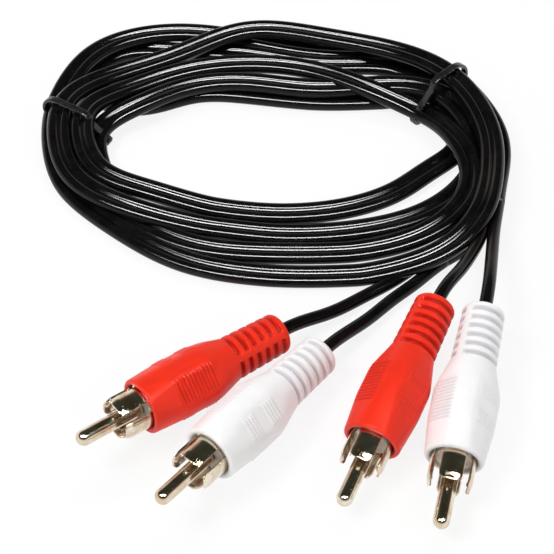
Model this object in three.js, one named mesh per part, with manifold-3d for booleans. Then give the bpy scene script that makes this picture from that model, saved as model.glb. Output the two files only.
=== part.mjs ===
import * as THREE from "three";
import { mergeVertices } from "three/addons/utils/BufferGeometryUtils.js";
import Module from "manifold-3d";

// A stereo audio cable: a black twin cord in a tied oval coil, split into two leads at both ends,
// with a moulded phono plug on each lead. It lies on the ground, in millimetres, with +Z up.
// A plug is made along its own X axis: the boot's mouth is at zero and the pin points along +X.

const wasm = await Module();
wasm.setup();

const clearance = 0.3;
const halfTurn = Math.PI;
const quarterTurn = Math.PI / 2;
const eighthTurn = Math.PI / 4;

// Cord
const strandDiameter = 2.8;
const strandRadius = strandDiameter / 2;
const strandSides = 8;
const strandStep = 6.5;
const straightOut = 4;

// Ties around the coil
const tieThickness = 0.8;
const tieWidth = 1.6;
const tieClearance = 0.5;

// Boot
const bootLength = 34.5;
const bootSides = 20;
const mouthRadius = 5.75;
const rimRound = 0.5;
const rimSteps = 2;
const bellyRadius = 6.5;
const bellyFront = 8;
const bellyBack = 14.5;
const gripHalfWidth = 5.85;
const gripOvershoot = 1;

// The boot's strain relief
const reliefLength = 13.2;
const reliefFrontRadius = 4.6;
const reliefEndRadius = 4.3;
const reliefEndRound = 1;
const grooveCount = 6;
const groovePitch = 2.15;
const grooveWidth = 0.9;
const grooveDepth = 0.7;
const endToGroove = 1.5;
const landWidth = 1.8;

// Raised ribs and tiles on the boot's four grip faces
const ribCount = 7;
const ribPitch = 1.3;
const ribWidth = 0.6;
const ribHeight = 0.25;
const padWidth = 4.6;
const padCentre = 10.5;
const tileLength = 2.8;
const tileSpacing = 5.6;
const tileHeight = 0.2;
const sunk = 0.3;

// Outer contact: a sleeve with four spring fingers, a base plate and a solder ear
const shellRadius = 4.35;
const shellWall = 0.45;
const shellSides = 20;
const fingerReach = 5.8;
const fingerBend = 0.3;
const fingerBendLength = 1.6;
const slotWidth = 2.1;
const slotRoot = 0.7;
const plateThickness = 0.8;
const skirtLength = 11;
const earLength = 4.5;
const earWidth = 2.6;

// Insulating disc
const insulatorLength = 4;
const insulatorRadius = shellRadius - shellWall - clearance;
const insulatorSides = 16;

// Centre pin
const pinRadius = 1.6;
const pinReach = 14.3;
const pinSides = 16;
const tipSteps = 4;
const neckRadius = 1.1;
const collarRadius = 1.7;
const cupRadius = 1.15;
const cupLength = 3.9;
const cupBore = 0.7;
const cupDepth = 3;

// Conductors inside the boot
const coreRadius = cupBore - clearance;
const coreInCup = 2.7;
const coreBare = 1.2;
const coreInsulationRadius = 0.6;
const coreInsulationLength = 6.7;
const shieldRadius = 0.35;
const shieldOnEar = 2.2;

// Places along a plug that follow from the sizes above
const plateFront = insulatorLength + clearance;
const plateBack = plateFront + plateThickness;
const cupEnd = plateBack + cupLength;
const coreFront = cupEnd - coreInCup;
const coreBack = cupEnd + coreBare;
const insulationFront = coreBack + clearance;
const insulationBack = insulationFront + coreInsulationLength;
const jacketEnd = insulationBack + clearance;
const shellEnd = skirtLength + earLength;
const boreRadius = shellRadius + clearance;
const boreDepth = shellEnd + clearance;
const chamberRadius = 3.3;
const chamberEnd = jacketEnd + 1;
const channelRadius = strandRadius + clearance;

// Resting tilt of a plug: nose up on the belly and the strain relief's end, or nose down on the belly and the rim
const noseUp = Math.atan2(
  bellyRadius - reliefEndRadius,
  bootLength - reliefEndRound - bellyBack,
);
const noseDown = -Math.atan2(bellyRadius - mouthRadius, bellyFront - rimRound);
const restHeight = (tilt) =>
  bellyRadius * Math.cos(tilt) +
  (tilt > 0 ? bellyBack : bellyFront) * Math.sin(tilt);

// The four plugs: where each mouth is over the ground, which way its pin points, how it tilts and where its ribs are
const ribsLeft = 0;
const ribsRight = 1;
const plugs = [
  { name: "left_red", mouth: [-30.2, -1.25], heading: -141.3, tilt: noseUp, ribs: ribsLeft, colour: 0xe63a22 },
  { name: "left_white", mouth: [-16.6, -12.0], heading: -128.8, tilt: noseUp, ribs: ribsRight, colour: 0xf2f0f2 },
  { name: "right_red", mouth: [14.0, -7.65], heading: -114.9, tilt: noseDown, ribs: ribsRight, colour: 0xe63a22 },
  { name: "right_white", mouth: [29.4, -11.65], heading: -104.6, tilt: noseDown, ribs: ribsRight, colour: 0xf2f0f2 },
];

// Route of each lead from just behind its plug to the coil, chosen by hand
const leadRoutes = {
  left_red: [[3.3, 24.6, 2.6], [8.1, 28.0, 1.8], [12.3, 31.0, 1.5], [16.4, 33.5, 1.45], [21.5, 36.4, 1.45]],
  left_white: [[10.6, 20.7, 2.5], [16.1, 26.4, 1.7], [21.4, 32.0, 1.5], [26.2, 35.9, 1.45], [32.8, 42.0, 1.45]],
  right_red: [[34.2, 32.2, 8.4], [36.8, 37.9, 7.6], [39.0, 43.6, 6.8], [40.6, 48.6, 6.0]],
  right_white: [[40.7, 33.8, 8.3], [42.4, 41.4, 7.4], [44.0, 49.9, 6.4], [45.5, 58.0, 5.5]],
};

// The oval coil, station by station: its inner and outer edge, how many cords lie on each other, how far the upper ones
// stand back from the inner edge, and whether a tie passes under it there
const coilStations = [
  { inner: [34.2, 77.0], outer: [49.3, 76.0], layers: 3, inset: 4, tied: false },
  { inner: [29.0, 86.4], outer: [40.8, 97.8], layers: 3, inset: 6, tied: true },
  { inner: [20.0, 89.6], outer: [28.5, 110.2], layers: 3, inset: 5, tied: false },
  { inner: [4.0, 90.0], outer: [9.0, 116.4], layers: 3, inset: 5, tied: false },
  { inner: [-12.0, 92.6], outer: [-12.0, 119.2], layers: 3, inset: 5, tied: false },
  { inner: [-25.0, 92.0], outer: [-31.0, 116.6], layers: 2.5, inset: 5, tied: false },
  { inner: [-36.5, 84.8], outer: [-47.5, 109.0], layers: 2, inset: 5, tied: false },
  { inner: [-43.0, 80.8], outer: [-57.2, 92.5], layers: 2, inset: 5, tied: true },
  { inner: [-44.0, 75.5], outer: [-57.9, 78.5], layers: 2, inset: 4.5, tied: true },
  { inner: [-39.5, 70.3], outer: [-54.8, 65.0], layers: 2, inset: 2, tied: false },
  { inner: [-31.0, 65.0], outer: [-44.0, 51.0], layers: 1.5, inset: 1, tied: false },
  { inner: [-17.5, 60.4], outer: [-25.0, 38.9], layers: 1, inset: 0, tied: false },
  { inner: [-3.0, 58.4], outer: [-5.0, 35.2], layers: 1, inset: 0, tied: false },
  { inner: [11.0, 60.1], outer: [15.0, 36.1], layers: 1, inset: 0, tied: false },
  { inner: [24.0, 66.3], outer: [33.0, 45.0], layers: 2, inset: 2, tied: false },
  { inner: [31.3, 72.3], outer: [45.3, 61.0], layers: 3, inset: 3, tied: false },
];
const coilStepsPerStation = 3;
const quarterSteps = 2;

// The place of each tie between the stations
const ties = [
  { name: "tie_left", at: 7 + 1 / coilStepsPerStation },
  { name: "tie_right", at: 1 },
];

// Finishes
const blackCord = new THREE.MeshStandardMaterial({ color: 0x101012, roughness: 0.3, metalness: 0 });
const blackTie = new THREE.MeshStandardMaterial({ color: 0x16161a, roughness: 0.2, metalness: 0 });
const nickel = new THREE.MeshStandardMaterial({ color: 0xd8cdbb, roughness: 0.18, metalness: 1 });
const whitePlastic = new THREE.MeshStandardMaterial({ color: 0xe8e6e0, roughness: 0.5, metalness: 0 });
const copper = new THREE.MeshStandardMaterial({ color: 0xb87348, roughness: 0.35, metalness: 1 });
const corePlastic = new THREE.MeshStandardMaterial({ color: 0xd9d2c4, roughness: 0.5, metalness: 0 });
const bootPlastic = (colour) =>
  new THREE.MeshStandardMaterial({ color: colour, roughness: 0.42, metalness: 0 });

// A closed geometry as a solid that can be joined and cut, and back again
function solidOf(geometry) {
  const bare = geometry.clone();
  bare.deleteAttribute("normal");
  bare.deleteAttribute("uv");
  const merged = mergeVertices(bare);
  return new wasm.Manifold(
    new wasm.Mesh({
      numProp: 3,
      vertProperties: new Float32Array(merged.attributes.position.array),
      triVerts: new Uint32Array(merged.index.array),
    }),
  );
}

function geometryOf(solid) {
  const mesh = solid.getMesh();
  const geometry = new THREE.BufferGeometry();
  geometry.setAttribute("position", new THREE.BufferAttribute(new Float32Array(mesh.vertProperties), mesh.numProp));
  geometry.setIndex(new THREE.BufferAttribute(new Uint32Array(mesh.triVerts), 1));
  geometry.computeVertexNormals();
  return geometry;
}

// A profile of [x, radius] points turned around the X axis
function turned(profile, sides) {
  const points = profile.map(([x, radius]) => new THREE.Vector2(radius, x));
  if (THREE.ShapeUtils.area(points) < 0) points.reverse();
  return new THREE.LatheGeometry([...points, points[0].clone()], sides).rotateZ(-quarterTurn);
}

// The same for a profile whose two ends are on the axis
function turnedSolid(profile, sides) {
  const points = profile.map(([x, radius]) => new THREE.Vector2(radius, x));
  if (THREE.ShapeUtils.area(points) < 0) points.reverse();
  return new THREE.LatheGeometry(points, sides).rotateZ(-quarterTurn);
}

// [x, radius] points of an arc, with angles counted from +X towards the radius
function arc(x, radius, round, from, to, steps) {
  return Array.from({ length: steps + 1 }, (_, i) => {
    const angle = THREE.MathUtils.lerp(from, to, i / steps);
    return [x + round * Math.cos(angle), radius + round * Math.sin(angle)];
  });
}

// A box between two corners
function boxBetween(low, high) {
  const size = low.map((v, i) => high[i] - v);
  const centre = low.map((v, i) => (high[i] + v) / 2);
  return new THREE.BoxGeometry(...size).translate(...centre);
}

// A round bar that follows points
function barAlong(points, radius, sides, steps) {
  const corners = Array.from({ length: sides }, (_, i) => {
    const angle = (2 * halfTurn * i) / sides;
    return new THREE.Vector2(radius * Math.cos(angle), radius * Math.sin(angle));
  });
  return new THREE.ExtrudeGeometry(new THREE.Shape(corners), {
    steps,
    bevelEnabled: false,
    extrudePath: new THREE.CatmullRomCurve3(points),
  });
}

function bar(radius, from, to, sides) {
  return turnedSolid([[from, 0], [from, radius], [to, radius], [to, 0]], sides);
}

// The boot: a turned body with four flats, a grooved strain relief, ribs on two flats and tiles on the other two
function bootOutline() {
  const reliefStart = bootLength - reliefLength;
  return [
    [0, boreRadius],
    ...arc(-rimRound, mouthRadius - rimRound, rimRound, 0, quarterTurn, rimSteps),
    [-bellyFront, bellyRadius],
    [-bellyBack, bellyRadius],
    [-reliefStart, reliefFrontRadius],
    ...arc(
      reliefEndRound - bootLength,
      reliefEndRadius - reliefEndRound,
      reliefEndRound,
      quarterTurn,
      halfTurn,
      rimSteps,
    ),
    [-bootLength, channelRadius],
    [-chamberEnd, channelRadius],
    [-chamberEnd, chamberRadius],
    [-boreDepth, chamberRadius],
    [-boreDepth, boreRadius],
  ];
}

function grooveCutters() {
  const rings = Array.from({ length: grooveCount }, (_, i) => {
    const back = -bootLength + endToGroove + i * groovePitch;
    const front = back + grooveWidth;
    const floor = reliefEndRadius - grooveDepth;
    const over = reliefFrontRadius + grooveDepth;
    return solidOf(turned([[back, floor], [front, floor], [front, over], [back, over]], bootSides));
  });
  const land = solidOf(
    boxBetween([-bootLength, -landWidth / 2, -bellyRadius], [0, landWidth / 2, bellyRadius]).rotateX(-eighthTurn),
  );
  return wasm.Manifold.union(rings).subtract(land);
}

// A plate on the grip face that is turned away from +Z around the X axis
function onGripFace(turn, back, front, width, height) {
  return solidOf(
    boxBetween([back, -width / 2, gripHalfWidth - sunk], [front, width / 2, gripHalfWidth + height]).rotateX(turn),
  );
}

function raisedMarks() {
  const marks = [];
  for (const side of [0, halfTurn]) {
    for (let i = 0; i < ribCount; i++) {
      const middle = -padCentre + (i - (ribCount - 1) / 2) * ribPitch;
      marks.push(onGripFace(side - eighthTurn, middle - ribWidth / 2, middle + ribWidth / 2, padWidth, ribHeight));
    }
    for (const way of [-1, 1]) {
      const middle = -padCentre + (way * tileSpacing) / 2;
      marks.push(onGripFace(side + eighthTurn, middle - tileLength / 2, middle + tileLength / 2, padWidth, tileHeight));
    }
  }
  return wasm.Manifold.union(marks);
}

function makeBoot() {
  const body = solidOf(turned(bootOutline(), bootSides));
  const grips = solidOf(
    boxBetween(
      [-bootLength - gripOvershoot, -gripHalfWidth, -gripHalfWidth],
      [gripOvershoot, gripHalfWidth, gripHalfWidth],
    ).rotateX(eighthTurn),
  );
  return body.intersect(grips).subtract(grooveCutters()).add(raisedMarks());
}

// The outer contact: slots part its front into four fingers, and all but an ear is cut from its back
function makeShell() {
  const inside = shellRadius - shellWall;
  const tube = solidOf(
    turned(
      [
        [fingerReach, inside - fingerBend],
        [fingerReach, shellRadius - fingerBend],
        [fingerReach - fingerBendLength, shellRadius],
        [-shellEnd, shellRadius],
        [-shellEnd, inside],
        [-plateBack, inside],
        [-plateBack, collarRadius + clearance],
        [-plateFront, collarRadius + clearance],
        [-plateFront, inside],
        [fingerReach - fingerBendLength, inside],
      ],
      shellSides,
    ),
  );
  const slots = [eighthTurn, -eighthTurn].map((turn) =>
    solidOf(
      boxBetween([-slotRoot, -slotWidth / 2, -bellyRadius], [fingerReach + 1, slotWidth / 2, bellyRadius]).rotateX(turn),
    ),
  );
  const behind = solidOf(
    boxBetween([-shellEnd - 1, -bellyRadius, -bellyRadius], [-skirtLength, bellyRadius, bellyRadius]),
  );
  const ear = solidOf(boxBetween([-shellEnd - 1, -earWidth / 2, -bellyRadius], [-skirtLength, earWidth / 2, 0]));
  return tube.subtract(wasm.Manifold.union(slots)).subtract(behind.subtract(ear));
}

function pinGeometry() {
  return turnedSolid(
    [
      ...arc(pinReach - pinRadius, 0, pinRadius, 0, quarterTurn, tipSteps),
      [clearance, pinRadius],
      [clearance, neckRadius],
      [-plateFront, neckRadius],
      [-plateFront, collarRadius],
      [-plateBack, collarRadius],
      [-plateBack, cupRadius],
      [-cupEnd, cupRadius],
      [-cupEnd, cupBore],
      [cupDepth - cupEnd, cupBore],
      [cupDepth - cupEnd, 0],
    ],
    pinSides,
  );
}

function insulatorGeometry() {
  return turned(
    [
      [0, neckRadius + clearance],
      [0, insulatorRadius],
      [-insulatorLength, insulatorRadius],
      [-insulatorLength, neckRadius + clearance],
    ],
    insulatorSides,
  );
}

// The shield's twisted strands run from the jacket's end to the inside of the solder ear
function shieldGeometry() {
  const atJacket = -(coreInsulationRadius + clearance + shieldRadius);
  const atEar = -(shellRadius - shellWall - clearance - shieldRadius);
  const rise = (shellEnd + insulationBack) / 2;
  const points = [
    new THREE.Vector3(clearance - insulationBack, 0, atJacket),
    new THREE.Vector3(-rise, 0, (atJacket + atEar) / 2),
    new THREE.Vector3(-shellEnd + shieldOnEar / 2, 0, atEar),
    new THREE.Vector3(-shellEnd + shieldOnEar, 0, atEar),
  ];
  return barAlong(points, shieldRadius, strandSides, points.length);
}

function namedMesh(name, geometry, material) {
  const mesh = new THREE.Mesh(geometry, material);
  mesh.name = name;
  return mesh;
}

// One plug, laid on the ground
const bootGeometry = geometryOf(makeBoot());
const shellGeometry = geometryOf(makeShell());

function makePlug({ name, mouth, heading, tilt, ribs, colour }) {
  const plug = new THREE.Group();
  const boot = namedMesh(`boot_${name}`, bootGeometry, bootPlastic(colour));
  boot.rotation.x = ribs * quarterTurn;
  plug.add(
    boot,
    namedMesh(`shell_${name}`, shellGeometry, nickel),
    namedMesh(`pin_${name}`, pinGeometry(), nickel),
    namedMesh(`insulator_${name}`, insulatorGeometry(), whitePlastic),
    namedMesh(`core_wire_${name}`, bar(coreRadius, -coreBack, -coreFront, strandSides), copper),
    namedMesh(
      `core_insulation_${name}`,
      bar(coreInsulationRadius, -insulationBack, -insulationFront, strandSides),
      corePlastic,
    ),
    namedMesh(`shield_wire_${name}`, shieldGeometry(), copper),
  );
  plug.rotation.order = "ZYX";
  plug.rotation.set(0, -tilt, THREE.MathUtils.degToRad(heading));
  plug.position.set(...mouth, restHeight(tilt));
  plug.updateMatrixWorld(true);
  return plug;
}

// A lead starts inside its boot, leaves it in line with the plug and then follows its route
function makeLead(name, plug) {
  const onAxis = (back) => new THREE.Vector3(-back, 0, 0).applyMatrix4(plug.matrixWorld);
  const points = [
    onAxis(jacketEnd),
    onAxis(bootLength),
    onAxis(bootLength + straightOut),
    ...leadRoutes[name].map((p) => new THREE.Vector3(...p)),
  ];
  const steps = Math.round(new THREE.CatmullRomCurve3(points).getLength() / strandStep);
  return namedMesh(`lead_${name}`, barAlong(points, strandRadius, strandSides, steps), blackCord);
}

// The outline of the coil's section, or of a band that lies outside it: x runs from the inner edge to the outer edge
function sectionOutline({ width, height, inset }, outside) {
  const round = height / 2;
  const corners = [
    { x: strandRadius + inset, y: height - strandRadius, radius: strandRadius },
    { x: strandRadius, y: strandRadius, radius: strandRadius },
    { x: width - round, y: round, radius: round },
    { x: width - round, y: round, radius: round },
  ];
  return corners.flatMap(({ x, y, radius }, corner) =>
    Array.from({ length: quarterSteps + 1 }, (_, i) => {
      const angle = quarterTurn * (corner + 1 + i / quarterSteps);
      return [x + (radius + outside) * Math.cos(angle), y + (radius + outside) * Math.sin(angle)];
    }),
  );
}

// The section at any place between the stations
const tieSpace = tieThickness + tieClearance;
const stationCurve = (point) =>
  new THREE.CatmullRomCurve3(coilStations.map((station) => new THREE.Vector3(...point(station))), true);
const innerCurve = stationCurve(({ inner }) => [...inner, 0]);
const outerCurve = stationCurve(({ outer }) => [...outer, 0]);
const heightCurve = stationCurve(({ layers, inset, tied }) => [layers * strandDiameter, inset, tied ? tieSpace : 0]);

function sectionAt(place) {
  const inner = innerCurve.getPoint(place / coilStations.length);
  const outer = outerCurve.getPoint(place / coilStations.length);
  const { x: height, y: inset, z: under } = heightCurve.getPoint(place / coilStations.length);
  return {
    corner: inner.clone().setZ(Math.max(under, 0)),
    across: outer.clone().sub(inner).normalize(),
    width: inner.distanceTo(outer),
    height,
    inset,
  };
}

// A closed ring through sections that have the same number of points
function ringGeometry(sections) {
  const around = sections[0].length;
  const index = sections.flatMap((section, i) =>
    section.flatMap((_, j) => {
      const next = (j + 1) % around;
      const ahead = ((i + 1) % sections.length) * around;
      const [a, b] = [i * around + j, i * around + next];
      const [c, d] = [ahead + j, ahead + next];
      return [a, c, b, b, c, d];
    }),
  );
  const geometry = new THREE.BufferGeometry().setFromPoints(sections.flat());
  geometry.setIndex(index);
  geometry.computeVertexNormals();
  return geometry;
}

// A point of a section's outline, moved sideways out of the section's plane
function sectionPoint({ corner, across }, [x, y], offset) {
  const up = new THREE.Vector3(0, 0, 1);
  const along = new THREE.Vector3().crossVectors(across, up);
  return corner.clone().addScaledVector(across, x).addScaledVector(up, y).addScaledVector(along, offset);
}

function coilGeometry() {
  const sections = Array.from({ length: coilStations.length * coilStepsPerStation }, (_, i) => {
    const section = sectionAt(i / coilStepsPerStation);
    return sectionOutline(section, 0).map((point) => sectionPoint(section, point, 0));
  });
  return ringGeometry(sections);
}

// A tie: a flat band around one section of the coil
function makeTie({ name, at }) {
  const section = sectionAt(at);
  const inside = sectionOutline(section, tieClearance);
  const outside = sectionOutline(section, tieClearance + tieThickness);
  const sections = inside.map((_, i) => [
    sectionPoint(section, inside[i], tieWidth / 2),
    sectionPoint(section, inside[i], -tieWidth / 2),
    sectionPoint(section, outside[i], -tieWidth / 2),
    sectionPoint(section, outside[i], tieWidth / 2),
  ]);
  return namedMesh(name, ringGeometry(sections), blackTie);
}

// The whole cable
const cable = new THREE.Group();
for (const plan of plugs) {
  const plug = makePlug(plan);
  cable.add(plug, makeLead(plan.name, plug));
}
cable.add(namedMesh("cord_coil", coilGeometry(), blackCord), ...ties.map(makeTie));

export default cable;
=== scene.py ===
import math

import bpy
import numpy as np
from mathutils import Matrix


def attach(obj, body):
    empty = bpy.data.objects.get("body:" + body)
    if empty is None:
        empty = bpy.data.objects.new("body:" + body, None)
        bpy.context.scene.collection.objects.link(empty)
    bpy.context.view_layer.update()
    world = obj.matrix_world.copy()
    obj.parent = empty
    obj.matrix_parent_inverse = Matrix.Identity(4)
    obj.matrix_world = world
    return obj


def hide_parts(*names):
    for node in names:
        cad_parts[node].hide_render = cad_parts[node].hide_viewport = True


# A stereo audio cable: a black twin cord in a tied oval coil, four leads and four phono plugs.
# Lengths in the dictionaries are in millimetres and mm turns them into metres. Angles are in degrees.

mm = 0.001
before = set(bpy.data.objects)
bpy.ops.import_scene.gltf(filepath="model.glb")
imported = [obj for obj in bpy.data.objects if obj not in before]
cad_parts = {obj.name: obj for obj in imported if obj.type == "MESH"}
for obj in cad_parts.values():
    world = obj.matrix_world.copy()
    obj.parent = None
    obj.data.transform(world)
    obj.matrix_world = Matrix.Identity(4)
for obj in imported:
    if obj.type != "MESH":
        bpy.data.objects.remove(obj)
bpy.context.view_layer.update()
print("frame loaded:", len(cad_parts), "nodes")

camera = dict(target=(-3.9, 38.6, 0), distance=290, elevation=49.5, lens=87.25, sensor=36, clipStart=10)


def makeCamera(look):
    # It stands in front of the target, raised by the elevation, and looks straight at it
    tilt = math.radians(look["elevation"])
    x, y, z = look["target"]
    away = look["distance"]
    data = bpy.data.cameras.new("camera")
    data.lens = look["lens"]
    data.sensor_width = look["sensor"]
    data.clip_start = look["clipStart"] * mm
    body = bpy.data.objects.new("camera", data)
    body.location = (x * mm, (y - away * math.cos(tilt)) * mm, (z + away * math.sin(tilt)) * mm)
    body.rotation_euler = (math.pi / 2 - tilt, 0, 0)
    bpy.context.collection.objects.link(body)
    bpy.context.scene.camera = body


makeCamera(camera)
print("camera placed")


def gridObject(name, points, uv=None, wrapRows=False, wrapColumns=False, closeEnds=False, skip=None):
    # A surface from a grid of points, rows by columns by xyz in metres. Either way can wrap round.
    # closeEnds adds a middle point at the first and the last row, and skip is a mask of left-out quads.
    rows, columns = points.shape[:2]
    index = np.arange(rows * columns).reshape(rows, columns)
    across = np.concatenate([index, index[:, :1]], 1) if wrapColumns else index
    both = np.concatenate([across, across[:1]], 0) if wrapRows else across
    quads = np.stack([both[:-1, :-1], both[:-1, 1:], both[1:, 1:], both[1:, :-1]], -1)
    if skip is not None:
        quads = quads[~skip]
    faces = quads.reshape(-1, 4).tolist()
    vertices = points.reshape(-1, 3)
    if closeEnds:
        middles = np.stack([points[0].mean(0), points[-1].mean(0)])
        first, last = len(vertices), len(vertices) + 1
        vertices = np.concatenate([vertices, middles])
        around = np.roll(index, -1, 1)
        faces += np.stack([around[0], index[0], np.full(columns, first)], -1).tolist()
        faces += np.stack([index[-1], around[-1], np.full(columns, last)], -1).tolist()
    mesh = bpy.data.meshes.new(name)
    mesh.from_pydata(vertices.tolist(), [], faces)
    mesh.polygons.foreach_set("use_smooth", np.ones(len(faces), bool))
    if uv is not None:
        flat = uv.reshape(-1, 2)
        if closeEnds:
            flat = np.concatenate([flat, flat[:1], flat[-1:]])
        corners = np.empty(len(mesh.loops), int)
        mesh.loops.foreach_get("vertex_index", corners)
        layer = mesh.uv_layers.new(name="uv")
        layer.data.foreach_set("uv", flat[corners].ravel())
    body = bpy.data.objects.new(name, mesh)
    bpy.context.collection.objects.link(body)
    return body


def smoothCurve(points, step):
    # A cubic spline through the points, by distance between them, with no bend at its ends;
    # the second derivatives come from one linear system. Returns points about step apart.
    points = np.asarray(points, float)
    knots = np.concatenate([[0], np.cumsum(np.linalg.norm(np.diff(points, axis=0), axis=1))])
    gaps = np.diff(knots)
    slopes = np.diff(points, axis=0) / gaps[:, None]
    system = np.eye(len(points))
    inner = np.arange(1, len(points) - 1)
    system[inner, inner - 1] = gaps[:-1]
    system[inner, inner] = 2 * (gaps[:-1] + gaps[1:])
    system[inner, inner + 1] = gaps[1:]
    right = np.zeros_like(points)
    right[1:-1] = 6 * np.diff(slopes, axis=0)
    bend = np.linalg.solve(system, right)
    at = np.linspace(0, knots[-1], max(8, int(round(knots[-1] / step))) + 1)
    piece = np.clip(np.searchsorted(knots, at, side="right") - 1, 0, len(gaps) - 1)
    h = gaps[piece][:, None]
    a = (knots[piece + 1] - at)[:, None]
    b = (at - knots[piece])[:, None]
    return (
        bend[piece] * a**3 / (6 * h)
        + bend[piece + 1] * b**3 / (6 * h)
        + (points[piece] / h - bend[piece] * h / 6) * a
        + (points[piece + 1] / h - bend[piece + 1] * h / 6) * b
    )


def relax(path, reach, spacing):
    # A bell-shaped average along the path, reach wide, with what it took off averaged and put back once.
    # The path is turned over at each end, so that its ends stay where they are.
    half = int(round(3 * reach / spacing))
    weights = np.exp(-0.5 * (np.arange(-half, half + 1) * spacing / reach) ** 2)
    weights /= weights.sum()

    def average(line):
        before = 2 * line[0] - line[half:0:-1]
        after = 2 * line[-1] - line[-2 : -half - 2 : -1]
        padded = np.concatenate([before, line, after])
        return np.stack([np.convolve(padded[:, axis], weights, "valid") for axis in range(3)], -1)

    eased = average(path)
    return eased + average(path - eased)


def lengthOf(path):
    return float(np.linalg.norm(np.diff(path, axis=0), axis=1).sum())


def alongPath(path):
    # Forward, sideways and upward directions at each point of a path: sideways is level, upward is square to both
    forward = np.gradient(path, axis=0)
    forward /= np.linalg.norm(forward, axis=1, keepdims=True)
    side = np.cross(forward, [0, 0, 1])
    side /= np.linalg.norm(side, axis=1, keepdims=True)
    return forward, side, np.cross(side, forward)


def sweep(name, path, outline):
    # An outline of sideways and upward distances carried along a path; u runs along it in millimetres
    _, side, up = alongPath(path)
    rings = path[:, None] + side[:, None] * outline[None, :, :1] + up[:, None] * outline[None, :, 1:]
    distance = np.concatenate([[0], np.cumsum(np.linalg.norm(np.diff(path, axis=0), axis=1))])
    turn = np.linspace(0, 1, len(outline))
    uv = np.stack(np.meshgrid(distance / mm, turn, indexing="ij"), -1)
    return gridObject(name, rings, uv, wrapColumns=True, closeEnds=True)


def circle(radius, count, start=0.0, stop=2 * math.pi, middle=(0, 0), whole=False):
    # Points a radius from the middle, from the start angle to the stop angle; whole keeps the last one
    turn = np.linspace(start, stop, count, endpoint=whole)
    return np.stack([middle[0] + radius * np.cos(turn), middle[1] + radius * np.sin(turn)], -1)


# The coil's stations as the part has them: inner edge, outer edge, and the lift over a tie
coil = dict(
    inner=[
        (34.2, 77.0), (29.0, 86.4), (20.0, 89.6), (4.0, 90.0), (-12.0, 92.6), (-25.0, 92.0), (-36.5, 84.8),
        (-43.0, 80.8), (-44.0, 75.5), (-39.5, 70.3), (-31.0, 65.0), (-17.5, 60.4), (-3.0, 58.4), (11.0, 60.1),
        (24.0, 66.3), (31.3, 72.3),
    ],
    outer=[
        (49.3, 76.0), (40.8, 97.8), (28.5, 110.2), (9.0, 116.4), (-12.0, 119.2), (-31.0, 116.6), (-47.5, 109.0),
        (-57.2, 92.5), (-57.9, 78.5), (-54.8, 65.0), (-44.0, 51.0), (-25.0, 38.9), (-5.0, 35.2), (15.0, 36.1),
        (33.0, 45.0), (45.3, 61.0),
    ],
    tied=(1, 7, 8),
    lift=1.3,
)

# Each lane of twin cord: (station, part of the way from the inner to the outer edge, height), counted on past
# the last station for the second round and so on. Each half starts at plain points where its two strands part.
# The two halves run side by side and meet in a flat turn at the back.
cord = dict(
    strand=1.4, step=1.3, ease=4.0, lobe=15, webAngle=28,
    partOne=[(31.2, 42.8, 1.45), (37.2, 47.4, 1.6)],
    halfOne=[
        (15, 0.80, 2.7), (16, 0.54, 4.3), (17, 0.46, 4.3), (18, 0.32, 4.0), (19, 0.18, 4.2), (20, 0.17, 4.2),
        (21, 0.13, 4.2), (22, 0.13, 4.2), (23, 0.16, 1.45), (24, 0.16, 1.45), (25, 0.30, 1.45), (26, 0.54, 1.4),
        (27, 0.64, 1.4), (28, 0.61, 1.4), (29, 0.64, 1.5), (30, 0.77, 3.7), (30.5, 0.77, 4.6), (31, 0.63, 5.0),
        (32, 0.20, 5.3), (33, 0.12, 1.6), (34, 0.14, 4.4), (35, 0.40, 4.6), (36, 0.41, 4.4), (37, 0.36, 4.2),
        (38, 0.38, 4.2), (39, 0.40, 4.3), (40, 0.34, 4.3), (41, 0.38, 4.3), (42, 0.20, 3.1), (43, 0.115, 1.4),
        (44, 0.105, 1.4), (45, 0.10, 1.4), (46, 0.10, 1.4), (47, 0.10, 1.4), (48, 0.28, 1.45), (49, 0.44, 1.45),
        (50, 0.20, 1.4), (51, 0.13, 1.4), (52, 0.12, 1.4), (53, 0.14, 1.4),
    ],
    turn=[
        (-33.0, 92.3, 1.4), (-39.5, 91.5, 1.4), (-46.6, 94.4, 1.4), (-49.5, 101.5, 1.4), (-46.6, 108.6, 1.4),
        (-39.5, 112.0, 1.4),
    ],
    partTwo=[(43.9, 56.6, 4.2), (45.2, 62.9, 3.6)],
    halfTwo=[
        (16, 0.88, 3.6), (17, 0.86, 4.0), (18, 0.88, 3.2), (19, 0.81, 1.6), (20, 0.86, 2.2), (21, 0.97, 4.0),
        (22, 1.00, 4.3), (22.5, 0.97, 4.2), (23, 0.93, 1.45), (24, 0.87, 1.45), (25, 0.84, 1.45), (26, 0.80, 1.4),
        (27, 0.86, 1.4), (28, 0.89, 1.4), (29, 0.92, 1.5), (29.5, 1.01, 3.4), (30, 1.08, 5.2), (30.5, 1.06, 7.2),
        (31, 0.90, 7.2), (32, 0.71, 7.3), (33, 0.71, 7.3), (34, 0.73, 7.2), (35, 0.80, 6.6), (36, 0.83, 5.6),
        (37, 0.61, 4.4), (38, 0.62, 4.3), (39, 0.74, 4.3), (40, 0.75, 4.3), (41, 0.74, 4.3), (42, 0.60, 4.1),
        (43, 0.38, 1.5), (44, 0.37, 1.4), (45, 0.39, 1.4), (46, 0.49, 1.4), (47, 0.57, 1.4), (48, 0.60, 1.45),
        (49, 0.66, 1.45), (50, 0.74, 1.4), (51, 0.62, 1.4), (52, 0.67, 1.4), (53, 0.80, 1.4),
    ],
)


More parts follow.
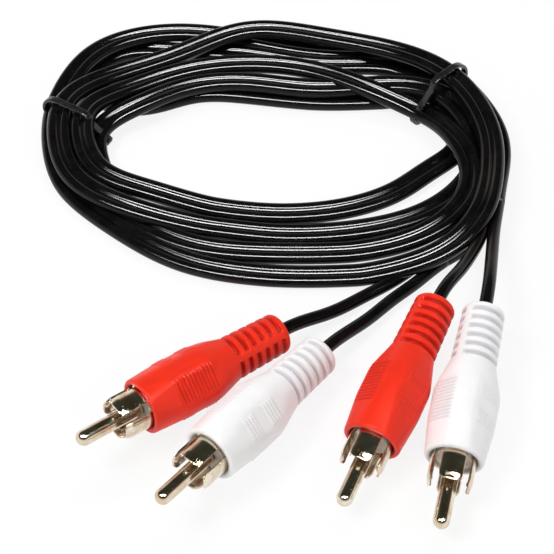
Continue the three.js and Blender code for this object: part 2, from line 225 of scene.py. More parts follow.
def aroundCoil(values, place):
    # Closed Catmull-Rom interpolation between the stations, for arrays of places
    values = np.asarray(values, float)
    base = np.floor(place).astype(int)
    t = (place - base)[:, None]
    p0, p1, p2, p3 = (values[(base + shift) % len(values)] for shift in (-1, 0, 1, 2))
    squared = (2 * p0 - 5 * p1 + 4 * p2 - p3) * t**2
    cubed = (3 * p1 - 3 * p2 + p3 - p0) * t**3
    return 0.5 * (2 * p1 + (p2 - p0) * t + squared + cubed)


def lanePoints(keys):
    # Each key's point: its part of the way across the coil at its station, and its height with the tie's lift
    keys = np.array(keys, float)
    inner = aroundCoil(coil["inner"], keys[:, 0])
    outer = aroundCoil(coil["outer"], keys[:, 0])
    flat = inner + (outer - inner) * keys[:, 1:2]
    tied = np.isin(np.mod(keys[:, 0], len(coil["inner"])), coil["tied"])
    return np.column_stack([flat, keys[:, 2] + coil["lift"] * tied])


def twinOutline(radius, lobe):
    # Two round strands side by side that are joined by a thin web, as one closed outline
    web = math.radians(cord["webAngle"])
    right = circle(radius, lobe, -math.pi + web, math.pi - web, (radius, 0), whole=True)
    left = circle(radius, lobe, web, 2 * math.pi - web, (-radius, 0), whole=True)
    return np.concatenate([right, left])


halfOne = np.concatenate([cord["partOne"], lanePoints(cord["halfOne"])])
halfTwo = np.concatenate([cord["partTwo"], lanePoints(cord["halfTwo"])])
twinKeys = np.concatenate([halfOne, cord["turn"], halfTwo[::-1]])
twinPath = relax(smoothCurve(twinKeys * mm, cord["step"] * mm), cord["ease"] * mm, cord["step"] * mm)
twinPath[:, 2] = np.maximum(twinPath[:, 2], cord["strand"] * mm)  # no lower than lying on the ground
twin = sweep("twin_cord", twinPath, twinOutline(cord["strand"], cord["lobe"]) * mm)
print("twin cord:", round(lengthOf(twinPath), 4), "m")

plug = dict(
    bootLength=34.5, mouthRadius=5.75, rimRound=0.5, bellyRadius=6.5, bellyFront=8, bellyBack=14.5,
    reliefLength=13.2, reliefFrontRadius=4.6, reliefEndRadius=4.3, reliefEndRound=1, gripHalfWidth=5.85,
)
# A plug lies on its belly and its rear end, which lifts its nose, or on its belly and its mouth
noseUp = math.atan2(
    plug["bellyRadius"] - plug["reliefEndRadius"],
    plug["bootLength"] - plug["reliefEndRound"] - plug["bellyBack"],
)
noseDown = -math.atan2(plug["bellyRadius"] - plug["mouthRadius"], plug["bellyFront"] - plug["rimRound"])
plugs = dict(
    left_red=dict(mouth=(-30.2, -1.25), heading=-141.3, tilt=noseUp, ribs=0, boot="red"),
    left_white=dict(mouth=(-16.6, -12.0), heading=-128.8, tilt=noseUp, ribs=1, boot="white"),
    right_red=dict(mouth=(14.0, -7.65), heading=-114.9, tilt=noseDown, ribs=1, boot="red"),
    right_white=dict(mouth=(29.4, -11.65), heading=-104.6, tilt=noseDown, ribs=1, boot="white"),
)


def onPlug(points, plan):
    # Points along a plug, in millimetres, to their place in metres: turned by its tilt and heading, then moved
    turn, tilt = math.radians(plan["heading"]), plan["tilt"]
    contact = plug["bellyBack"] if tilt > 0 else plug["bellyFront"]
    height = plug["bellyRadius"] * math.cos(tilt) + contact * math.sin(tilt)
    ahead = np.array([math.cos(turn) * math.cos(tilt), math.sin(turn) * math.cos(tilt), math.sin(tilt)])
    left = np.array([-math.sin(turn), math.cos(turn), 0])
    up = np.cross(ahead, left)
    points = np.asarray(points, float)
    return (points @ np.stack([ahead, left, up]) + [*plan["mouth"], height]) * mm


# The routes behind the plugs as the part has them, each then led on to its strand of the twin cord. end says
# which end of the twin cord a lead leaves, and side which of its two strands.
leads = dict(
    radius=1.4, sides=24, inside=17.5, straight=4, step=1.2, ease=4.0, join=1.5,
    left_red=dict(route=[(6.4, 26.3, 2.3), (14.4, 31.9, 1.5), (22.0, 36.9, 1.45)], end=0, side=-1),
    left_white=dict(route=[(16.1, 26.4, 1.7), (21.4, 32.0, 1.5), (26.4, 36.0, 1.45)], end=0, side=1),
    right_red=dict(
        route=[(34.3, 33.6, 7.6), (37.5, 40.0, 6.0), (40.2, 45.6, 5.0), (41.6, 51.0, 4.4)], end=-1, side=-1
    ),
    right_white=dict(route=[(40.6, 33.0, 8.3), (42.3, 42.2, 6.2), (43.9, 50.5, 4.8)], end=-1, side=1),
)


def leadPath(name, plan):
    # From inside the boot, straight out, along the route, and into line with its strand of the twin cord
    lead = leads[name]
    behindMouth = (leads["inside"], plug["bootLength"], plug["bootLength"] + leads["straight"])
    axis = onPlug([(-distance, 0, 0) for distance in behindMouth], plan)
    path = twinPath if lead["end"] == 0 else twinPath[::-1]
    forward, side, _ = alongPath(path)
    strand = path[0] + side[0] * lead["side"] * leads["radius"] * mm
    join = [strand - forward[0] * leads["join"] * mm, strand + forward[0] * leads["join"] * mm / 2]
    line = smoothCurve(np.concatenate([axis, np.array(lead["route"]) * mm, join]), leads["step"] * mm)
    return relax(line, leads["ease"] * mm, leads["step"] * mm)


leadPieces = {}
leadPaths = {}
for name, plan in plugs.items():
    leadPaths[name] = leadPath(name, plan)
    leadPieces[name] = sweep(f"single_{name}", leadPaths[name], circle(leads["radius"] * mm, leads["sides"]))
    print("lead", name, round(lengthOf(leadPaths[name]), 4), "m")

boot = dict(
    alongStep=0.105, columns=128, blend=0.5, easeReach=0.9, easeCount=13, roundCount=7,
    boreRadius=4.65, boreDepth=15.8, chamberRadius=3.3, chamberDepth=18.5, channelRadius=1.7, chamfer=0.15,
    grooves=6, groovePitch=2.15, grooveWidth=0.95, grooveDepth=0.7, grooveSoft=0.3, endToGroove=1.5,
    landWidth=1.8, landSoft=0.35,
    padCentre=10.5, padLength=9.4, padWidth=4.9, endSoft=0.25, sideSoft=0.3,
    ribs=12, ribHeight=0.28, ribPower=0.8, ribShade=0.55,
    tileLength=2.8, tileSpacing=5.6, tileWidth=4.6, tileHeight=0.24,
    knurl=1.5, knurlMiddle=0.62, knurlSwing=0.38, knurlShade=1.3, knurlShadeBelow=0.6,
)


def step(distance, soft):
    # 0 before the edge and 1 after it, with a smooth slope soft wide
    t = np.clip(distance / soft + 0.5, 0, 1)
    return t * t * (3 - 2 * t)


def bootProfile(back):
    # The boot's turned radius at a distance back from its mouth: straight lines from the rim over the belly to
    # the relief and the end, averaged over a short reach so that their corners are round
    p = plug
    reliefAt = p["bootLength"] - p["reliefLength"]
    places = [p["rimRound"], p["bellyFront"], p["bellyBack"], reliefAt, p["bootLength"] - p["reliefEndRound"]]
    radii = [p["mouthRadius"], p["bellyRadius"], p["bellyRadius"], p["reliefFrontRadius"], p["reliefEndRadius"]]
    spread = np.linspace(-boot["easeReach"], boot["easeReach"], boot["easeCount"])
    return np.mean([np.interp(back + shift, places, radii) for shift in spread], 0)


def bootSurface(ribs):
    # Outside radius at (back, turn): the turned profile blended with a square of flats, less the grooves where
    # no land crosses them, plus ribs and knurled tiles on the flats. The last rows go round the rim and inside.
    # ribs turns the pattern by that many quarter turns. Also returns the painted shade at each point: how far it
    # lies down in a groove, between the ribs and in the knurl's pits, and full shade inside the boot.
    b, p = boot, plug
    back = np.arange(p["bootLength"] - p["reliefEndRound"], p["rimRound"], -b["alongStep"])[:, None]
    turn = np.linspace(0, 2 * math.pi, b["columns"], endpoint=False)[None, :]
    onFlat = turn - math.pi / 4 - ribs * math.pi / 2
    turned = bootProfile(back) + 0 * turn
    square = p["gripHalfWidth"] / np.maximum(abs(np.cos(onFlat)), abs(np.sin(onFlat)))
    near = np.clip(1 - abs(turned - square) / b["blend"], 0, 1)
    radius = np.minimum(turned, square) - b["blend"] * near**2 / 4

    across, sideways = radius * np.sin(onFlat), radius * np.cos(onFlat)
    facing = abs(np.cos(onFlat)) > math.sqrt(0.5)
    middle = back - b["padCentre"]
    pad = step(b["padLength"] / 2 - abs(middle), b["endSoft"])
    pad = pad * step(b["padWidth"] / 2 - abs(across), b["sideSoft"]) * facing
    ridge = 0.5 + 0.5 * np.cos(2 * math.pi * b["ribs"] * (middle / b["padLength"] + 0.5) + math.pi)
    tile = step(b["tileLength"] / 2 - abs(abs(middle) - b["tileSpacing"] / 2), b["endSoft"])
    tile = tile * step(b["tileWidth"] / 2 - abs(sideways), b["sideSoft"]) * ~facing
    wave = 2 * math.pi / b["knurl"]
    crossed = np.cos(wave * (middle + sideways)) * np.cos(wave * (middle - sideways))
    knurl = b["knurlMiddle"] + b["knurlSwing"] * crossed
    raised = pad * b["ribHeight"] * ridge ** b["ribPower"] + tile * b["tileHeight"] * knurl

    land = step(b["landWidth"] / 2 - abs(across), b["landSoft"]) * facing
    fromEnd = p["bootLength"] - back - b["endToGroove"] - b["grooveWidth"] / 2
    nearest = np.clip(np.round(fromEnd / b["groovePitch"]), 0, b["grooves"] - 1) * b["groovePitch"]
    groove = step(b["grooveWidth"] / 2 - abs(fromEnd - nearest), b["grooveSoft"]) * (1 - land)
    floor = p["reliefEndRadius"] - b["grooveDepth"]
    radius = radius + raised
    radius = radius + (np.minimum(radius, floor) - radius) * groove

    # The end's round, the rim's round, and the inside back to the channel and the end
    quarter = np.linspace(0, math.pi / 2, b["roundCount"])
    endRound, rimRound, chamfer = p["reliefEndRound"], p["rimRound"], b["chamfer"]
    end = np.column_stack([
        p["bootLength"] - endRound + endRound * np.cos(quarter[:-1]),
        p["reliefEndRadius"] + endRound * np.sin(quarter[:-1]) - endRound,
    ])
    front = np.column_stack([
        rimRound - rimRound * np.sin(quarter[1:]),
        p["mouthRadius"] + rimRound * np.cos(quarter[1:]) - rimRound,
    ])
    inside = np.array([
        (0, b["boreRadius"] + chamfer), (chamfer, b["boreRadius"]), (b["boreDepth"], b["boreRadius"]),
        (b["boreDepth"], b["chamberRadius"]), (b["chamberDepth"], b["chamberRadius"]),
        (b["chamberDepth"], b["channelRadius"]), (p["bootLength"] - chamfer, b["channelRadius"]),
        (p["bootLength"], b["channelRadius"] + chamfer),
    ])
    rows = [(end[:, :1], end[:, 1:]), (back, radius), (front[:, :1], front[:, 1:]), (inside[:, :1], inside[:, 1:])]
    x = np.concatenate([-place + 0 * turn for place, _ in rows])
    r = np.concatenate([size + 0 * turn for _, size in rows])
    # Painted shade, where a shadow would fall: darker down in the grooves, between the ribs, in the knurl's pits,
    # and fully dark on the inside rows
    between = pad * (1 - ridge) * b["ribShade"]
    between = between + tile * np.clip(b["knurlShadeBelow"] - knurl, 0, 1) * b["knurlShade"]
    cavity = np.zeros_like(r)
    cavity[len(end) : len(end) + len(back)] = groove + between
    cavity[-len(inside) :] = 1
    return np.stack([x, r * np.cos(turn), r * np.sin(turn)], -1), cavity


def paintPoints(body, name, values):
    # One number for each vertex, which the material reads as an attribute
    attribute = body.data.attributes.new(name, "FLOAT", "POINT")
    flat = np.zeros(len(body.data.vertices), np.float32)
    flat[: values.size] = values.ravel()
    attribute.data.foreach_set("value", flat)


boots = {}
for name, plan in plugs.items():
    points, cavity = bootSurface(plan["ribs"])
    boots[name] = gridObject(f"plug_boot_{name}", onPlug(points, plan), wrapRows=True, wrapColumns=True)
    # Each boot carries its painted shade as one number per vertex, which its material reads
    paintPoints(boots[name], "cavity", cavity)
print("boots made:", len(boots))

shell = dict(
    radius=4.35, wall=0.45, reach=5.8, bend=0.3, bendLength=1.6, slotRoot=0.7, slotWidth=2.1, cornerRound=1.25,
    skirtLength=11, earEnd=15.5, earColumns=7, moreRows=(13.2, 8, 3, 1.8), fingerRows=33, fingerColumns=24,
    slotColumns=8, edge=0.09, edgeSteps=2, edgeAngle=40,
    plate=(4.3, 5.1), plateHole=2.0, plateEdge=0.1, plateSides=64,
)
pin = dict(
    radius=1.6, reach=14.3, shoulder=0.3, shoulderLead=0.3, neck=1.1, collar=1.7, plate=(4.3, 5.1), cup=1.15,
    cupEnd=9.0, cupBore=0.7, cupDepth=3.0, cupMiddle=0.05, sides=64, edge=0.12, tipHole=0.06, tipRows=18,
    shaftGaps=(0.5, 0.6), shaftRows=8,
)
insulator = dict(radius=3.6, length=4.0, hole=1.4, edge=0.2, sides=96)


def lathe(name, profile, plan, sides, closed):
    # Points of [place along the plug, radius] turned once round its axis; closed joins the last to the first
    turn = np.linspace(0, 2 * math.pi, sides, endpoint=False)
    x = profile[:, :1] + 0 * turn
    points = np.stack([x, profile[:, 1:] * np.cos(turn), profile[:, 1:] * np.sin(turn)], -1)
    run = np.concatenate([[0], np.cumsum(np.linalg.norm(np.diff(profile, axis=0), axis=1))])
    uv = np.stack(np.meshgrid(run, turn / (2 * math.pi), indexing="ij"), -1)
    return gridObject(name, onPlug(points, plan), uv, wrapRows=closed, wrapColumns=True, closeEnds=not closed)


def roundCorners(profile, size, steps=4, most=0.45):
    # Each inner corner of a line is replaced by a short quadratic curve that starts and ends size away from it,
    # or the most part of the way to the next corner where that is nearer
    profile = np.asarray(profile, float)
    corner = profile[1:-1]

    def reachTo(neighbour):
        away = neighbour - corner
        length = np.linalg.norm(away, axis=1)
        return away * (np.minimum(size, length * most) / length)[:, None]

    t = np.linspace(0, 1, steps + 1)[None, :, None]
    curve = corner[:, None] + reachTo(profile[:-2])[:, None] * (1 - t) ** 2 + reachTo(profile[2:])[:, None] * t**2
    return np.concatenate([profile[:1], curve.reshape(-1, 2), profile[-1:]])


def shellObject(name, plan):
    # A tube at (row, turn) with four slots in its front, fingers with rounded corners that bend in at their
    # tips, and only an ear left of its back. Its wall and its rounded edges are modifiers.
    s = shell
    half = math.pi / 4 - math.asin(s["slotWidth"] / 2 / s["radius"])
    finger = np.linspace(-half, half, s["fingerColumns"], endpoint=False)
    slot = np.linspace(half, math.pi / 2 - half, s["slotColumns"], endpoint=False)
    quarter = np.concatenate([finger, slot])
    turn = np.concatenate([quarter + k * math.pi / 2 for k in range(4)])
    fromMiddle = abs((turn + math.pi / 4) % (math.pi / 2) - math.pi / 4)
    fromSide = np.clip((half - fromMiddle) * s["radius"], 0, s["cornerRound"])
    corner = s["cornerRound"] - np.sqrt(s["cornerRound"] ** 2 - (s["cornerRound"] - fromSide) ** 2)
    tip = s["reach"] - np.where(fromMiddle > half, 0, corner)
    front = np.linspace(0, 1, s["fingerRows"])[:, None]
    behind = np.sort([-s["earEnd"], -s["skirtLength"], -s["plate"][1], -s["slotRoot"], *np.negative(s["moreRows"])])
    x = np.concatenate([behind[:, None] + 0 * turn, (-s["slotRoot"] + (tip + s["slotRoot"]) * front)[1:]])
    radius = s["radius"] - s["bend"] * step(x - s["reach"] + s["bendLength"] / 2, s["bendLength"])
    points = np.stack([x, radius * np.cos(turn), radius * np.sin(turn)], -1)
    uv = np.stack([x, turn * s["radius"] + 0 * x], -1)

    row, column = np.arange(len(x) - 1)[:, None], np.arange(len(turn))[None, :]
    perQuarter = s["fingerColumns"] + s["slotColumns"]
    inSlot = column % perQuarter >= s["fingerColumns"]
    earMiddle = 3 * perQuarter + s["fingerColumns"] // 2
    inEar = abs(column + 0.5 - earMiddle) < s["earColumns"]
    behindSkirt = row < np.sum(behind < -s["skirtLength"])
    skip = ((row >= len(behind) - 1) & inSlot) | (behindSkirt & ~inEar)
    body = gridObject(name, onPlug(points, plan), uv, wrapColumns=True, skip=skip)
    wall = body.modifiers.new("wall", "SOLIDIFY")
    wall.thickness = s["wall"] * mm
    wall.offset = -1
    edges = body.modifiers.new("edges", "BEVEL")
    edges.width = s["edge"] * mm
    edges.segments = s["edgeSteps"]
    edges.limit_method = "ANGLE"
    edges.angle_limit = math.radians(s["edgeAngle"])
    return body


def ring(name, front, back, inner, outer, edge, plan, sides):
    # A flat ring with rounded edges; the line starts half way along its outside
    middle = (front + back) / 2
    line = [(middle, outer), (front, outer), (front, inner), (back, inner), (back, outer), (middle, outer)]
    return lathe(name, roundCorners(line, edge)[:-1], plan, sides, closed=True)


def pinObject(name, plan):
    # A ball-ended pin with a shoulder, a neck, a collar behind the insulator and a hollow solder cup, as one line
    # of [place, radius] from its tip to the bottom of the cup
    n = pin
    ball = np.linspace(n["tipHole"], math.pi / 2, n["tipRows"])
    ballMiddle = n["reach"] - n["radius"]
    tip = np.column_stack([ballMiddle + n["radius"] * np.cos(ball), n["radius"] * np.sin(ball)])
    shaftEnds = ballMiddle - n["shaftGaps"][0], n["shoulder"] + n["shaftGaps"][1]
    shaft = np.column_stack([np.linspace(*shaftEnds, n["shaftRows"]), np.full(n["shaftRows"], n["radius"])])
    cupBottom = n["cupDepth"] - n["cupEnd"]
    body = [
        (n["shoulder"] + n["shoulderLead"], n["radius"]), (n["shoulder"], n["radius"]), (n["shoulder"], n["neck"]),
        (-n["plate"][0], n["neck"]), (-n["plate"][0], n["collar"]), (-n["plate"][1], n["collar"]),
        (-n["plate"][1], n["cup"]), (-n["cupEnd"], n["cup"]), (-n["cupEnd"], n["cupBore"]),
        (cupBottom, n["cupBore"]), (cupBottom, n["cupMiddle"]),
    ]
    profile = np.concatenate([tip, shaft, roundCorners(body, n["edge"])])
    return lathe(name, profile, plan, n["sides"], closed=False)


def contactPieces(name, plan):
    s, i = shell, insulator
    plateSize = (-s["plate"][0], -s["plate"][1], s["plateHole"], s["radius"] - s["wall"], s["plateEdge"])
    discSize = (0, -i["length"], i["hole"], i["radius"], i["edge"])
    return dict(
        shell=shellObject(f"contact_shell_{name}", plan),
        plate=ring(f"contact_plate_{name}", *plateSize, plan, s["plateSides"]),
        pin=pinObject(f"centre_pin_{name}", plan),
        insulator=ring(f"insulator_ring_{name}", *discSize, plan, i["sides"]),
    )


contacts = {name: contactPieces(name, plan) for name, plan in plugs.items()}
print("contacts made")

tie = dict(
    strand=1.4, inner=0.5, outer=1.3, width=1.6, cornerSteps=8, edge=0.22, edgeSteps=5,
    left=dict(inside=(-43.81, 79.14, 1.36), outside=(-58.09, 87.81), height=5.6, inset=4.87),
    right=dict(inside=(29.0, 86.4, 1.3), outside=(40.8, 97.8), height=8.4, inset=6),
)


def quarterCircles(middles, radii, steps, first):
    # One quarter circle round each middle, each a quarter turn on from the one before, as one closed outline
    starts = [(first + k) * math.pi / 2 for k in range(4)]
    return np.concatenate([
        circle(radius, steps, start, start + math.pi / 2, middle, whole=True)
        for middle, radius, start in zip(middles, radii, starts)
    ])


def tieOutline(width, height, inset, outside):
    # The coil's cross-section as four quarter circles joined by straight sides, moved out by a distance
    radius, half = tie["strand"], height / 2
    middles = [(radius + inset, height - radius), (radius, radius), (width - half, half), (width - half, half)]
    radii = np.array([radius, radius, half, half]) + outside
    return quarterCircles(middles, radii, tie["cornerSteps"], 1)


def tieObject(name, place):
    # A flat band round the coil: its own cross-section, a rounded rectangle of sideways and outward distances,
    # with the coil's outline taken at each outward distance
    inside = np.array(place["inside"])
    across = np.array([*place["outside"], inside[2]]) - inside
    width = float(np.linalg.norm(across))
    across /= width
    along = np.cross(across, [0, 0, 1])
    edge, middle = tie["edge"], (tie["inner"] + tie["outer"]) / 2
    x, y = tie["width"] / 2 - edge, (tie["outer"] - tie["inner"]) / 2 - edge
    section = quarterCircles([(x, y), (-x, y), (-x, -y), (x, -y)], [edge] * 4, tie["edgeSteps"], 0)
    rows = []
    for sideways, outward in section:
        flat = tieOutline(width, place["height"], place["inset"], middle + outward)
        rows.append(inside + flat[:, :1] * across + flat[:, 1:] * [0, 0, 1] + sideways * along)
    return gridObject(name, np.array(rows)[::-1] * mm, wrapRows=True, wrapColumns=True)


ties = dict(left=tieObject("band_left", tie["left"]), right=tieObject("band_right", tie["right"]))
print("ties made")


class Link:
    # A socket of a node tree that takes part in Python arithmetic as Math nodes
    def __init__(self, tree, socket):
        self.tree = tree
        self.socket = socket

    def math(self, operation, *others):
        sockets = {0: self, **dict(enumerate(others, 1))}
        return self.tree.node("ShaderNodeMath", dict(operation=operation), sockets)

    def __add__(self, other):
        return self.math("ADD", other)

    def __sub__(self, other):
        return self.math("SUBTRACT", other)

    def __mul__(self, other):
        return self.math("MULTIPLY", other)

    def __rsub__(self, other):
        return self.tree.node("ShaderNodeMath", dict(operation="SUBTRACT"), {0: other, 1: self})

    __radd__ = __add__
    __rmul__ = __mul__

    def clamp(self):
        return self.tree.node("ShaderNodeClamp", {}, {0: self})


class Tree:
    # The nodes of one material or world
    def __init__(self, owner):
        owner.use_nodes = True
        self.nodes = owner.node_tree.nodes
        self.links = owner.node_tree.links
        self.nodes.clear()

    def node(self, kind, settings, sockets, output=0):
        # A node of a type with its settings, then the values or links of its sockets, as the link it gives out
        made = self.nodes.new(kind)
        for key, value in settings.items():
            if key == "stops":
                while len(made.color_ramp.elements) < len(value):
                    made.color_ramp.elements.new(0.5)
                for element, (place, colour) in zip(made.color_ramp.elements, value):
                    element.position = place
                    element.color = (*colour, 1)
            else:
                setattr(made, key, value)
        for key, value in sockets.items():
            if isinstance(value, Link):
                self.links.new(value.socket, made.inputs[key])
            else:
                made.inputs[key].default_value = value
        return Link(self, made.outputs[output])

    def finish(self, kind, result):
        output = self.nodes.new(kind)
        self.links.new(result.socket, output.inputs["Surface"])

    def objectPlace(self):
        return self.node("ShaderNodeTexCoord", {}, {}, "Object")

    def stretchedUv(self, scale):
        uv = self.node("ShaderNodeUVMap", dict(uv_map="uv"), {})
        return self.node("ShaderNodeMapping", {}, {"Vector": uv, "Scale": scale})

    def noise(self, place, scale, detail=2.0, roughness=0.5):
        sockets = {"Vector": place, "Scale": scale, "Detail": detail, "Roughness": roughness}
        return self.node("ShaderNodeTexNoise", {}, sockets)

    def mix(self, factor, first, second, how="MIX"):
        settings = dict(data_type="RGBA", blend_type=how)
        return self.node("ShaderNodeMix", settings, {"Factor": factor, 6: first, 7: second}, 2)

    def between(self, value, low, high, newLow=0.0, newHigh=1.0):
        sockets = {0: value, 1: low, 2: high, 3: newLow, 4: newHigh}
        return self.node("ShaderNodeMapRange", dict(clamp=True), sockets)

    def bump(self, height, strength, distance):
        sockets = {"Height": height, "Strength": strength, "Distance": distance * mm}
        return self.node("ShaderNodeBump", {}, sockets)

    def isRay(self, kind):
        return self.node("ShaderNodeLightPath", {}, {}, f"Is {kind} Ray")


def colour(red, green, blue):
    # An sRGB colour of 0 to 255 as linear light
    share = np.array([red, green, blue]) / 255
    linear = np.where(share < 0.04045, share / 12.92, ((share + 0.055) / 1.055) ** 2.4)
    return (*linear.tolist(), 1)


def material(name, build, **constants):
    # constants go on the shader's own sockets, and build gives the ones that vary over the surface
    made = bpy.data.materials.new(name)
    tree = Tree(made)
    tree.finish("ShaderNodeOutputMaterial", tree.node("ShaderNodeBsdfPrincipled", {}, {**constants, **build(tree)}))
    return made


# In the finishes, a scale is a noise's, per metre, a range is the part of its values that is spread out, and
# a bump is (strength, depth)
moulded = dict(
    cloudScale=180, cloudRange=(0.35, 0.75), cloudShade=0.12, grainScale=3500, skinScale=900,
    skinRange=(0.3, 0.7), grooveShade=0.75, roughness=(0.36, 0.5), bumpDepth=0.04,
)


def mouldedPlastic(light, dark, grain):
    # Soft moulded plastic: a fine grain, faint clouding as a random tone, and painted shade down in the grooves,
    # between the ribs, in the knurl's pits and inside the boot, read from a vertex attribute
    def build(tree):
        m = moulded
        place = tree.objectPlace()
        cavity = tree.node("ShaderNodeAttribute", dict(attribute_name="cavity"), {}, "Fac")
        cloud = tree.noise(place, m["cloudScale"], 3)
        fine = tree.noise(place, m["grainScale"], 3, 0.6)
        # The mix towards the darker colour is painted shade from the attribute plus the clouding's random tone
        shade = tree.between(cavity, 0.0, 1.0, 0.0, m["grooveShade"])
        shade = shade + tree.between(cloud, *m["cloudRange"], 0.0, m["cloudShade"])
        skin = tree.noise(place, m["skinScale"], 4, 0.6)
        return {
            "Base Color": tree.mix(shade.clamp(), light, dark),
            "Roughness": tree.between(skin, *m["skinRange"], *m["roughness"]),
            "Normal": tree.bump(fine + skin, grain, m["bumpDepth"]),
        }

    return build


jacket = dict(
    lineStretch=(0.05, 14, 1), lineScale=2.0, patchScale=260, patchRange=(0.35, 0.7), dullRange=(0.3, 0.7),
    dustScale=2600, dustRange=(0.66, 0.78), dark=colour(9, 9, 10), worn=colour(19, 19, 21),
    dust=colour(80, 80, 84), dustCover=0.2, dustRoughness=0.08, dullness=0.05, patchHeight=0.5, bumpDepth=0.02,
)


def blackPlastic(shine, streaks):
    # Smooth black cord jacket: faint drag lines along its length, dull patches and dust
    def build(tree):
        j = jacket
        lines = tree.noise(tree.stretchedUv(j["lineStretch"]), j["lineScale"], 3)
        place = tree.objectPlace()
        patch = tree.noise(place, j["patchScale"], 4, 0.6)
        dust = tree.between(tree.noise(place, j["dustScale"], 2), *j["dustRange"])
        black = tree.mix(tree.between(patch, *j["patchRange"]), j["dark"], j["worn"])
        dull = tree.between(patch, *j["dullRange"], shine, shine + j["dullness"])
        return {
            "Base Color": tree.mix(dust * j["dustCover"], black, j["dust"]),
            "Roughness": (dull + dust * j["dustRoughness"]).clamp(),
            "Normal": tree.bump(lines + patch * j["patchHeight"], streaks, j["bumpDepth"]),
        }

    return build


plating = dict(
    lineStretch=(9, 0.25, 1), lineScale=2.0, lineRange=(0.3, 0.7), roughness=(0.1, 0.2), patchScale=330,
    patchRange=(0.35, 0.7), pale=colour(232, 226, 208), warm=colour(206, 178, 150), bump=(0.12, 0.03),
)


def platedMetal(tree):
    # Pale gold plating over turned and pressed metal, with fine lines round the axis and warm, browner patches
    p = plating
    lines = tree.noise(tree.stretchedUv(p["lineStretch"]), p["lineScale"], 3)
    patch = tree.noise(tree.objectPlace(), p["patchScale"], 3, 0.55)
    return {
        "Base Color": tree.mix(tree.between(patch, *p["patchRange"]), p["pale"], p["warm"]),
        "Roughness": tree.between(lines, *p["lineRange"], *p["roughness"]),
        "Normal": tree.bump(lines, *p["bump"]),
    }


plain = dict(
    cloudScale=500, tintRange=(0.35, 0.7), dullRange=(0.3, 0.7), dullness=0.12, grainScale=4000, bump=(0.1, 0.03)
)


def plainPlastic(light, dark, shine=0.3):
    # Plain plastic: faint clouding between two shades, and a fine grain
    def build(tree):
        place = tree.objectPlace()
        cloud = tree.noise(place, plain["cloudScale"], 3)
        return {
            "Base Color": tree.mix(tree.between(cloud, *plain["tintRange"]), light, dark),
            "Roughness": tree.between(cloud, *plain["dullRange"], shine, shine + plain["dullness"]),
            "Normal": tree.bump(tree.noise(place, plain["grainScale"], 2), *plain["bump"]),
        }

    return build


# The copper's two colours are painted shade between the strands and painted light on their crests
strands = dict(
    scale=2200, dark=colour(200, 118, 72), bright=colour(236, 168, 120), roughness=(0.25, 0.4), bump=(0.5, 0.06)
)


def strandedCopper(tree):
    # Twisted copper strands: slanting bands, lighter on their crests and darker in between as painted light and
    # shade, and smoother in between
    settings = dict(wave_type="BANDS", bands_direction="DIAGONAL")
    wave = tree.node("ShaderNodeTexWave", settings, {"Vector": tree.objectPlace(), "Scale": strands["scale"]})
    return {
        "Base Color": tree.mix(wave, strands["dark"], strands["bright"]),
        "Roughness": tree.between(wave, 0.0, 1.0, *strands["roughness"]),
        "Normal": tree.bump(wave, *strands["bump"]),
    }


finishes = dict(
    # Each boot's second, darker colour is both its clouding's tone and its painted shade in the grooves and hollows
    red=material(
        "soft_red_plastic", mouldedPlastic(colour(238, 44, 14), colour(150, 10, 8), 0.1),
        **{"Specular IOR Level": 0.35},
    ),
    white=material(
        "soft_white_plastic", mouldedPlastic(colour(249, 249, 249), colour(200, 198, 204), 0.08),
        **{"Specular IOR Level": 0.35},
    ),
    cord=material("black_cord_jacket", blackPlastic(0.12, 0.01), **{"Specular IOR Level": 0.22}),
    tie=material("black_band_plastic", plainPlastic(colour(24, 24, 26), colour(40, 40, 44), 0.1)),
    metal=material("plated_metal", platedMetal, Metallic=1.0),
    insulator=material("white_insulator_plastic", plainPlastic(colour(226, 220, 212), colour(196, 186, 176))),
    core=material("core_insulation_plastic", plainPlastic(colour(222, 208, 190), colour(190, 172, 150))),
    copper=material("stranded_copper", strandedCopper, Metallic=1.0),
)
print("materials:", len(finishes))


def coat(body, finish):
    body.data.materials.clear()
    body.data.materials.append(finishes[finish])


def dress(body, finish, slot, *nodes):
    # A piece's material, and the part's nodes that it stands in for
    coat(body, finish)
    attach(body, "root")
    if nodes:
        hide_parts(*nodes)


dress(twin, "cord", "black_cord", "cord_coil")
for side, body in ties.items():
    dress(body, "tie", "black_tie", f"tie_{side}")
for name, plan in plugs.items():
    parts = contacts[name]
    dress(leadPieces[name], "cord", "black_cord", f"lead_{name}")
    dress(boots[name], plan["boot"], f"{plan['boot']}_boot", f"boot_{name}")
    dress(parts["shell"], "metal", "plated_metal", f"shell_{name}")
    dress(parts["plate"], "metal", "plated_metal", f"shell_{name}")
    dress(parts["pin"], "metal", "plated_metal", f"pin_{name}")
    dress(parts["insulator"], "insulator", "white_insulator", f"insulator_{name}")
    for node, finish in (("core_wire", "copper"), ("shield_wire", "copper"), ("core_insulation", "core")):
        coat(bpy.data.objects[f"{node}_{name}"], finish)

print("pieces dressed")

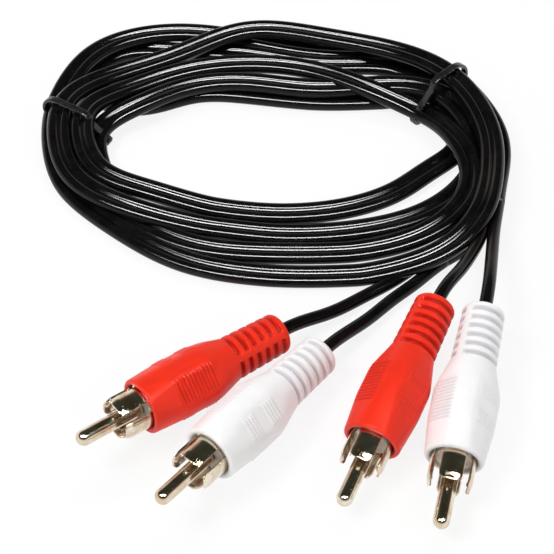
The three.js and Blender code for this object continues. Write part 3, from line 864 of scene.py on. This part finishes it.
# The tent is what gloss and metal mirror, by height from the floor's level up. The window's angle is counted
# from level at the back, over the top, to level at the front.
studio = dict(
    floor=colour(250, 250, 250), floorSize=3000, floorGlow=0.86, ambient=0.45,
    lamps=[
        dict(name="key", place=(-420, -60, 600), aim=(-4, 40, 0), size=(240, 240), power=2.6),
        dict(name="back", place=(60, 460, 560), aim=(-4, 60, 0), size=(500, 60), power=1.1),
        dict(name="fill", place=(420, -260, 380), aim=(-4, 40, 0), size=(320, 220), power=0.5),
    ],
    window=dict(angle=108, half=2, soft=2.5, across=(0.25, 0.65), strength=110),
    tent=[
        (0.0, (1, 1, 0.97)), (0.25, (0.95, 0.92, 0.85)), (0.36, (0.5, 0.34, 0.27)), (0.5, (0.05, 0.05, 0.035)),
        (1.0, (0.03, 0.035, 0.028)),
    ],
)


def aimAt(body, place, aim):
    # The lamp's own -Z axis points at the aim
    away = np.array(place, float) - np.array(aim, float)
    away /= np.linalg.norm(away)
    body.location = [v * mm for v in place]
    body.rotation_euler = (math.acos(away[2]), 0, math.atan2(away[1], away[0]) + math.pi / 2)


def addLamp(plan):
    # The lamps light the object, and only the tent and its window show in gloss
    data = bpy.data.lights.new(plan["name"], "AREA")
    data.shape = "RECTANGLE"
    data.size, data.size_y = (v * mm for v in plan["size"])
    data.energy = plan["power"]
    body = bpy.data.objects.new(plan["name"], data)
    aimAt(body, plan["place"], plan["aim"])
    body.visible_glossy = False
    bpy.context.collection.objects.link(body)


def makeFloor():
    # A matte floor that keeps the object's shadow, and glows white to the camera and in gloss and glass
    half = studio["floorSize"] / 2 * mm
    line = np.array([-half, half])
    x, y = np.meshgrid(line, line, indexing="ij")
    floor = gridObject("floor", np.stack([x, y, 0 * x], -1))
    made = bpy.data.materials.new("floor_white")
    tree = Tree(made)
    seen = (tree.isRay("Camera") + tree.isRay("Glossy") + tree.isRay("Transmission")).clamp()
    matte = tree.node("ShaderNodeBsdfDiffuse", {}, {"Color": studio["floor"]})
    glow = tree.node("ShaderNodeEmission", {}, {"Color": (1, 1, 1, 1), "Strength": 1})
    both = tree.node("ShaderNodeMixShader", {}, {0: seen * studio["floorGlow"], 1: matte, 2: glow})
    tree.finish("ShaderNodeOutputMaterial", both)
    floor.data.materials.append(made)


def makeWorld():
    # White to the camera. Reflections see a tent that is white low down and dark overhead, with one narrow
    # bright window from left to right, a little in front of overhead. It fades out towards both sides.
    # Everything else gets an even soft light.
    world = bpy.data.worlds.new("studio")
    bpy.context.scene.world = world
    tree = Tree(world)
    direction = tree.node("ShaderNodeTexCoord", {}, {}, "Generated")
    sideways, back, height = (tree.node("ShaderNodeSeparateXYZ", {}, {0: direction}, axis) for axis in "XYZ")
    window = studio["window"]
    rise = height.math("ARCTAN2", back) * math.degrees(1)
    off = (rise - window["angle"]).math("ABSOLUTE")
    inWindow = 1 - tree.between(off, window["half"], window["half"] + window["soft"])
    inWindow = inWindow * (1 - tree.between(sideways.math("ABSOLUTE"), *window["across"]))
    bright = inWindow * window["strength"]
    tent = tree.node("ShaderNodeValToRGB", dict(stops=studio["tent"]), {0: height.clamp()})
    tent = tree.mix(1.0, tent, tree.node("ShaderNodeCombineXYZ", {}, {0: bright, 1: bright, 2: bright}), "ADD")
    ambient = studio["ambient"]
    light = tree.mix(tree.isRay("Glossy"), (ambient, ambient, ambient, 1), tent)
    light = tree.mix(tree.isRay("Camera"), light, (1, 1, 1, 1))
    tree.finish("ShaderNodeOutputWorld", tree.node("ShaderNodeBackground", {}, {"Color": light, "Strength": 1}))


makeFloor()
makeWorld()
for plan in studio["lamps"]:
    addLamp(plan)
bpy.context.scene.view_settings.view_transform = "Standard"
print("stage and light set")
